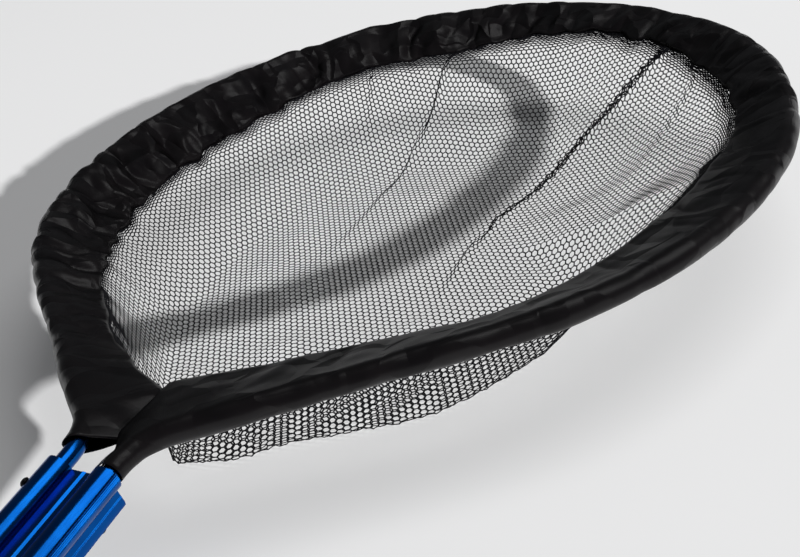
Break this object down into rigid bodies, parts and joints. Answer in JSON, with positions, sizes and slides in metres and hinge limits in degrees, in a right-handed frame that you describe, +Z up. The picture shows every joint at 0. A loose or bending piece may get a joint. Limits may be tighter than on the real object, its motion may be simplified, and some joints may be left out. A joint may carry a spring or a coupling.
{
  "type": "koi pan net",
  "caption": "Wide shallow net pan on a round blue anodised tube hoop, with an extruded yoke and a telescopic twist-lock handle, for guiding and lifting pond fish.",
  "frame": {"origin": "on the ground under the centre of the level hoop, at the underside of the net floor", "axes": "+Z up, +Y towards the hoop's far end, handle towards -Y and sloping about 5.7 degrees down to its grip, +X to the right seen from the handle"},
  "size_m": [0.6314, 1.3273, 0.104],
  "materials": {
    "blue_aluminium": "bright blue anodised extrusion and tube",
    "black_nylon": "shiny woven nylon taffeta, gathered on the hoop",
    "netting": "soft knotless honeycomb netting",
    "black_screw": "black oxide",
    "black_plastic": "moulded, fine satin grain",
    "foam": "closed-cell foam"
  },
  "bodies": {
    "handle": {"outer_pole": "blue_aluminium", "lock_ferrule": "black_plastic", "lock_collet": "black_plastic", "grip": "foam", "end_cap": "black_plastic"},
    "head": {"hoop_frame": "blue_aluminium", "hem_sleeve": "black_nylon", "net_wall": "netting", "net_floor": "netting", "yoke": "blue_aluminium", "leg_screw_left": "black_screw", "leg_screw_right": "black_screw", "pole_screw": "black_screw", "inner_pole": "blue_aluminium", "inner_pole_bush": "black_plastic"},
    "lock": {"lock_collar": "black_plastic"}
  },
  "joints": [
    {"name": "handle_slide", "type": "slide", "parent": "handle", "child": "head", "axis": [0, 0.9951, 0.0989], "range_m": [0, 0.25]},
    {"name": "lock_twist", "type": "hinge", "parent": "handle", "child": "lock", "pos_m": [0, -0.6186, 0.055], "axis": [0, 0.9951, 0.0989], "range_deg": [0, 120]}
  ]
}
